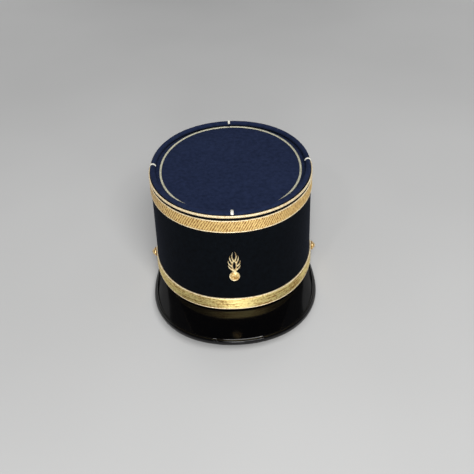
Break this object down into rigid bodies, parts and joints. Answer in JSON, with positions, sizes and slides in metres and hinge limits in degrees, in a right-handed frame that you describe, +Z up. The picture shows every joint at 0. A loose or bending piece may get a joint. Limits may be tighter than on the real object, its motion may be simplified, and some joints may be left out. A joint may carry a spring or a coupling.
{
  "type": "kepi",
  "caption": "Oval cloth kepi with a sunk top, patent leather peak, gold braid bands, dress chin strap, domed side buttons and a pierced grenade badge.",
  "frame": {"origin": "centre of the hat's footprint, on the surface it rests on", "axes": "+X the viewer's right as the front is seen, +Y towards the back of the hat, +Z up"},
  "size_m": [0.1872, 0.2538, 0.1283],
  "materials": {
    "cloth_dark": "matt woollen cloth, near-black navy",
    "cloth_navy": "matt woollen cloth, navy",
    "braid_pale": "fine metallic braid, pale gold",
    "braid_gold": "woven metallic lace, gold",
    "brass": "polished gilt",
    "patent_leather": "black patent gloss"
  },
  "bodies": {
    "root": {"crown_side": "cloth_dark", "top_disc": "cloth_navy", "rim_roll": "cloth_navy", "top_ring_braid": "braid_pale", "rim_tick_front": "braid_pale", "rim_tick_back": "braid_pale", "rim_tick_left": "braid_pale", "rim_tick_right": "braid_pale", "upper_braid": "braid_gold", "galon": "braid_gold", "chin_strap": "braid_gold", "button_left": "brass", "button_right": "brass", "grenade": "brass", "peak": "patent_leather", "peak_binding": "patent_leather"}
  },
  "joints": []
}
